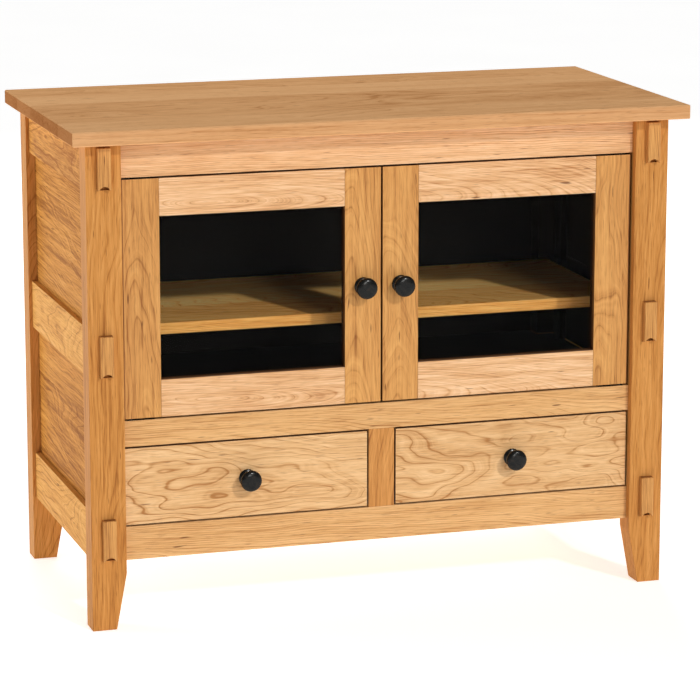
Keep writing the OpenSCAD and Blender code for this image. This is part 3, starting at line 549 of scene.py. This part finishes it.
def lathe(bm, profile, at, turn, steps=72):
    """Turns a profile of (radius, distance) round an axis that starts at a point."""
    rings = []
    for r, d in profile:
        if r == 0.0:
            rings.append([bm.verts.new(at + turn @ Vector((0.0, 0.0, d)))])
            continue
        rings.append([bm.verts.new(at + turn @ Vector((r * math.cos(a), r * math.sin(a), d)))
                      for a in (2.0 * math.pi * i / steps for i in range(steps))])
    for low, high in zip(rings, rings[1:]):
        for i in range(steps):
            j = (i + 1) % steps
            if len(low) == 1 and len(high) == 1:
                continue
            if len(low) == 1:
                bm.faces.new((low[0], high[j], high[i]))
            elif len(high) == 1:
                bm.faces.new((low[i], low[j], high[0]))
            else:
                bm.faces.new((low[i], low[j], high[j], high[i]))


def smooth_curve(points, per=6):
    """Points of a smooth curve through the given ones."""
    out = []
    n = len(points)
    for i in range(n - 1):
        p0 = points[max(i - 1, 0)]
        p1, p2 = points[i], points[i + 1]
        p3 = points[min(i + 2, n - 1)]
        for k in range(per):
            t = k / per
            out.append(tuple(
                0.5 * (2 * b + (c - a) * t + (2 * a - 5 * b + 4 * c - d) * t * t
                       + (3 * b - a - 3 * c + d) * t ** 3)
                for a, b, c, d in zip(p0, p1, p2, p3)))
    out.append(points[-1])
    return out


# half outline of a knob, from the wood to the tip: a stepped foot, a waist and a domed cap
KNOB_FOOT = [(0.0, 0.0), (0.0150, 0.0), (0.0152, 0.0007), (0.0151, 0.0019), (0.0141, 0.0028)]
KNOB_BODY = smooth_curve([(0.0136, 0.0031), (0.0104, 0.0048), (0.0081, 0.0079), (0.0080, 0.0112),
                          (0.0100, 0.0143), (0.0138, 0.0172), (0.0170, 0.0199), (0.0180, 0.0228),
                          (0.0177, 0.0251), (0.0158, 0.0274), (0.0120, 0.0290), (0.0066, 0.0298),
                          (0.0, 0.0300)])
TO_FRONT = Vector((0.0, -1.0, 0.0)).to_track_quat("Z", "Y").to_matrix()
TO_BACK = Vector((0.0, 1.0, 0.0)).to_track_quat("Z", "Y").to_matrix()
# how far the rim of a screw head goes into what it holds
SCREW_SUNK = 0.0004


def cross_screw(bm, at, turn, r, rise):
    """A domed screw head with a cross recess."""
    steps = 32
    slot_w, slot_l = r * 0.14, r * 0.56

    def lift(x, y):
        d = math.hypot(x, y) / r
        z = rise * math.sqrt(max(0.0, 1.0 - d ** 2.4))
        inside = (abs(x) < slot_w and abs(y) < slot_l) or (abs(y) < slot_w and abs(x) < slot_l)
        return z - (rise * 0.75 if inside else 0.0)

    def ring(radius, sunk=None):
        """A ring of points on the dome, or sunk below its rim."""
        out = []
        for i in range(steps):
            a = 2.0 * math.pi * i / steps
            x, y = radius * math.cos(a), radius * math.sin(a)
            z = lift(x, y) if sunk is None else -sunk
            out.append(bm.verts.new(at + turn @ Vector((x, y, z))))
        return out

    # shares of the radius at which there is a ring of points, closer at the walls of the cross
    shares = [0.10, 0.135, 0.16, 0.30, 0.45, 0.54, 0.58, 0.75, 0.9, 0.97, 1.0]
    rings = [[bm.verts.new(at + turn @ Vector((0.0, 0.0, lift(0.0, 0.0))))]]
    rings += [ring(r * share) for share in shares]
    rings.append(ring(r, SCREW_SUNK))
    for low, high in zip(rings, rings[1:]):
        for i in range(steps):
            j = (i + 1) % steps
            if len(low) == 1:
                bm.faces.new((low[0], high[i], high[j]))
            else:
                bm.faces.new((low[i], high[i], high[j], low[j]))


def finish_mesh(bm, name, smooth=True):
    """The mesh of a finished bmesh, with its faces turned outwards."""
    bmesh.ops.recalc_face_normals(bm, faces=bm.faces)
    mesh = bpy.data.meshes.new(name)
    bm.to_mesh(mesh)
    bm.free()
    if smooth:
        mesh.polygons.foreach_set("use_smooth", [True] * len(mesh.polygons))
    return mesh


KNOB_SCREW_R = 0.004
KNOB_SCREW_RISE = 0.0022
# the doors and the drawer fronts share their front and back planes
front_low, front_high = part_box("left_drawer_front")
for body in ("left_door", "right_door", "left_drawer", "right_drawer"):
    knob_low, knob_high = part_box(body + "_knob")
    centre = (knob_low + knob_high) / 2.0
    bm = bmesh.new()
    lathe(bm, KNOB_FOOT + KNOB_BODY, Vector((centre.x, front_low.y, centre.z)), TO_FRONT)
    knob = link(body + "_knob_turned", finish_mesh(bm, body + "_knob"), body,
                bronze_finish)
    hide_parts(body + "_knob")
    bm = bmesh.new()
    cross_screw(bm, Vector((centre.x, front_high.y, centre.z)), TO_BACK, KNOB_SCREW_R,
                KNOB_SCREW_RISE)
    link(body + "_knob_screw", finish_mesh(bm, body + "_knob_screw"), body, steel_finish)

# screws that hold the back panel to the posts and rails
BACK_SCREW_R = 0.0038
BACK_SCREW_RISE = 0.0016
SCREW_INSET = 0.005
SCREW_FROM_END = 0.030
SCREW_FROM_RAIL_EDGE = 0.040
RAIL_SCREW_PITCH = 0.27
POST_SCREWS = 5
bm = bmesh.new()
back_low, back_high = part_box("back_panel")
side_x = back_high.x - SCREW_INSET
low_z = back_low.z + SCREW_FROM_END
pitch_z = (back_high.z - back_low.z - 2.0 * SCREW_FROM_END) / (POST_SCREWS - 1)
spots = [(x, low_z + i * pitch_z) for x in (-side_x, side_x) for i in range(POST_SCREWS)]
spots += [(i * RAIL_SCREW_PITCH, z) for i in (-1, 0, 1)
          for z in (back_low.z + SCREW_FROM_RAIL_EDGE, back_high.z - SCREW_FROM_RAIL_EDGE)]
for x, z in spots:
    cross_screw(bm, Vector((x, back_high.y, z)), TO_BACK, BACK_SCREW_R, BACK_SCREW_RISE)
link("back_panel_screws", finish_mesh(bm, "back_panel_screws"), "case", steel_finish)

# ---------- floor ----------

FLOOR_SIZE = 40.0
FLOOR_GLOW = 0.60
floor_tree = Tree("pale_floor")
where = floor_tree.add("ShaderNodeTexCoord").outputs["Object"]
mottle = floor_tree.noise(where, 2.0, 3.0, 0.5)
floor_colour = floor_tree.ramp(mottle, [(0.3, grey(0.90)), (0.7, grey(0.93))])
floor_material = floor_tree.finish(Base_Color=floor_colour, Roughness=0.8, Specular_IOR_Level=0.1,
                                   Emission_Color=WHITE, Emission_Strength=FLOOR_GLOW)
bm = bmesh.new()
bmesh.ops.create_grid(bm, x_segments=8, y_segments=8, size=FLOOR_SIZE)
floor = bpy.data.objects.new("floor", finish_mesh(bm, "floor", False))
floor.data.materials.append(floor_material)
scene.collection.objects.link(floor)
